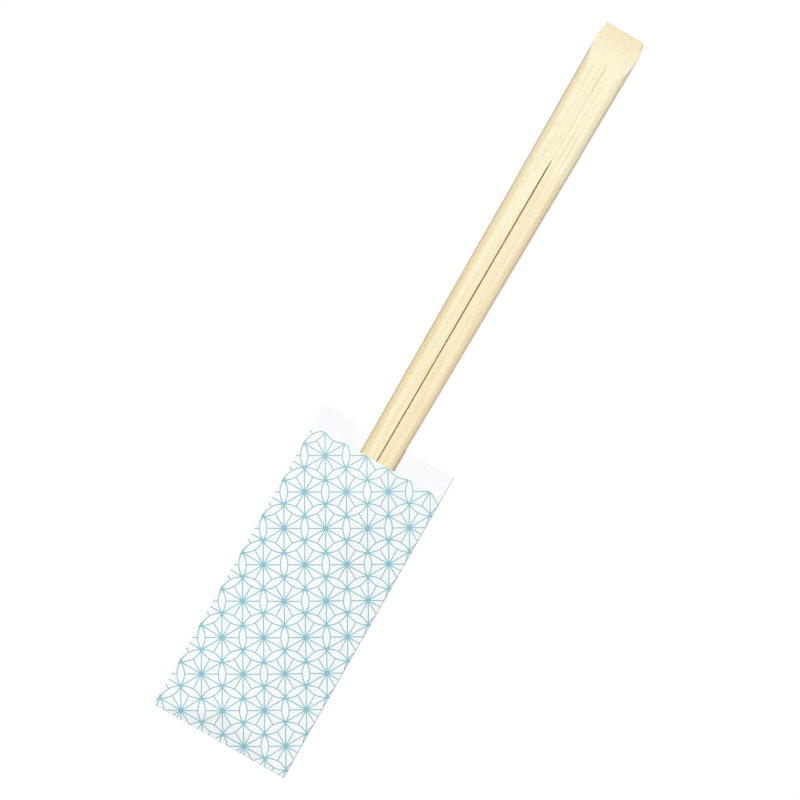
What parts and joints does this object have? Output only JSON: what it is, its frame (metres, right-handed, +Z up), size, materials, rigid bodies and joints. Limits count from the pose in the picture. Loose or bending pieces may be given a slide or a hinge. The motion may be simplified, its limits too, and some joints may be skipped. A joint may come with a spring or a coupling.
{
  "type": "bamboo chopsticks in a paper sleeve",
  "caption": "Joined disposable bamboo chopsticks with a sloped head, lying in a short printed paper sleeve that covers the tips.",
  "frame": {"origin": "on the surface that the sleeve lies on, under the middle of the whole", "axes": "+Y runs along the chopsticks from the tips to the sloped head, +Z is up, out of the sleeve's front panel, and +X completes a right-handed set"},
  "size_m": [0.0464, 0.2488, 0.0049],
  "materials": {
    "bamboo": "matte",
    "printed_paper": "matte"
  },
  "bodies": {
    "root": {"chopstick_pair": "bamboo", "paper_sleeve": "printed_paper"}
  },
  "joints": []
}
